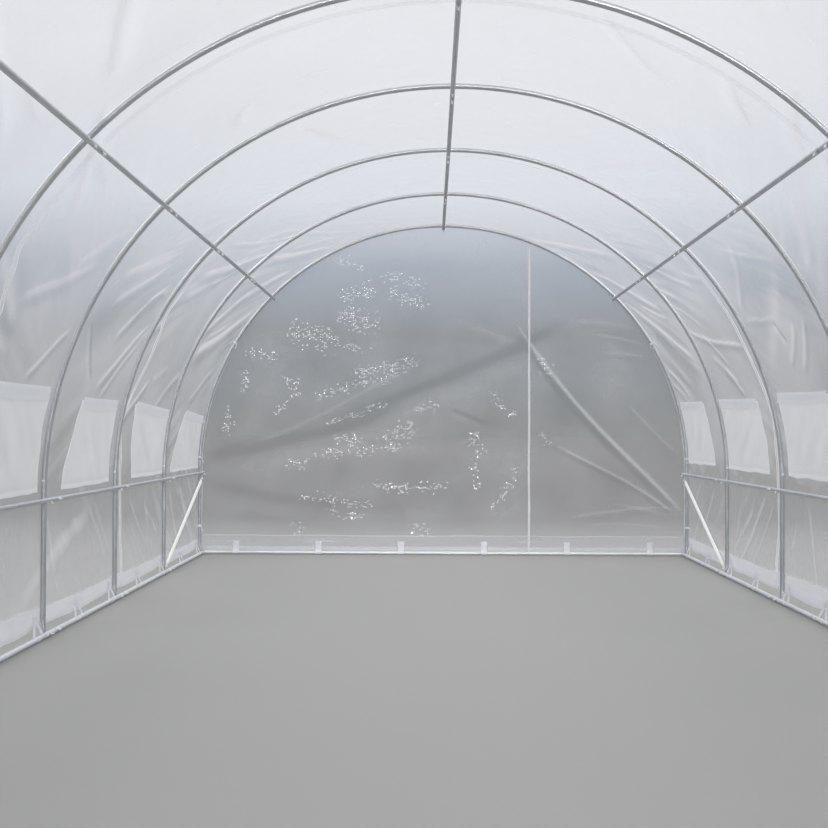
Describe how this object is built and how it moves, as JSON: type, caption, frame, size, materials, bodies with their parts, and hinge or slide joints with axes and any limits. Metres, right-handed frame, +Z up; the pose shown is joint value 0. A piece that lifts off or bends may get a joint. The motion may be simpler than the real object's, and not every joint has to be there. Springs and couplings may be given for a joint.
{
  "type": "polytunnel greenhouse",
  "caption": "Walk-in polytunnel greenhouse: galvanised tube hoops on straight legs under a clear film cover with mesh side windows and an open doorway.",
  "frame": {"origin": "middle of the ground that the tunnel covers, on the plane under the legs' feet", "axes": "+Z up, +Y along the tunnel towards the closed rear wall, +X to the right of someone who walks in"},
  "size_m": [3.0066, 6.0536, 2.0321],
  "materials": {
    "galvanised_tube": "galvanised, satin",
    "white_tube": "satin",
    "clear_film": "glossy, creased",
    "window_mesh": "fine woven mesh",
    "webbing": "woven webbing"
  },
  "bodies": {
    "root": {"cover_front": "clear_film", "cover_middle": "clear_film", "cover_rear": "clear_film", "door_roll": "clear_film", "door_ties": "webbing", "front_base_rail": "galvanised_tube", "front_left_brace": "white_tube", "front_right_brace": "white_tube", "front_straps": "webbing", "front_wall": "clear_film", "hoop_1": "galvanised_tube", "hoop_2": "galvanised_tube", "hoop_3": "galvanised_tube", "hoop_4": "galvanised_tube", "hoop_5": "galvanised_tube", "hoop_6": "galvanised_tube", "hoop_7": "galvanised_tube", "left_base_rail": "galvanised_tube", "left_shoulder_purlin": "galvanised_tube", "left_straps": "webbing", "left_waist_rail": "galvanised_tube", "left_window_headers": "webbing", "left_windows": "window_mesh", "legs_1": "galvanised_tube", "legs_2": "galvanised_tube", "legs_3": "galvanised_tube", "legs_4": "galvanised_tube", "legs_5": "galvanised_tube", "legs_6": "galvanised_tube", "legs_7": "galvanised_tube", "rear_base_rail": "galvanised_tube", "rear_left_brace": "white_tube", "rear_right_brace": "white_tube", "rear_straps": "webbing", "rear_wall_narrow": "clear_film", "rear_wall_wide": "clear_film", "ridge_purlin": "galvanised_tube", "right_base_rail": "galvanised_tube", "right_shoulder_purlin": "galvanised_tube", "right_straps": "webbing", "right_waist_rail": "galvanised_tube", "right_window_headers": "webbing", "right_windows": "window_mesh"}
  },
  "joints": []
}
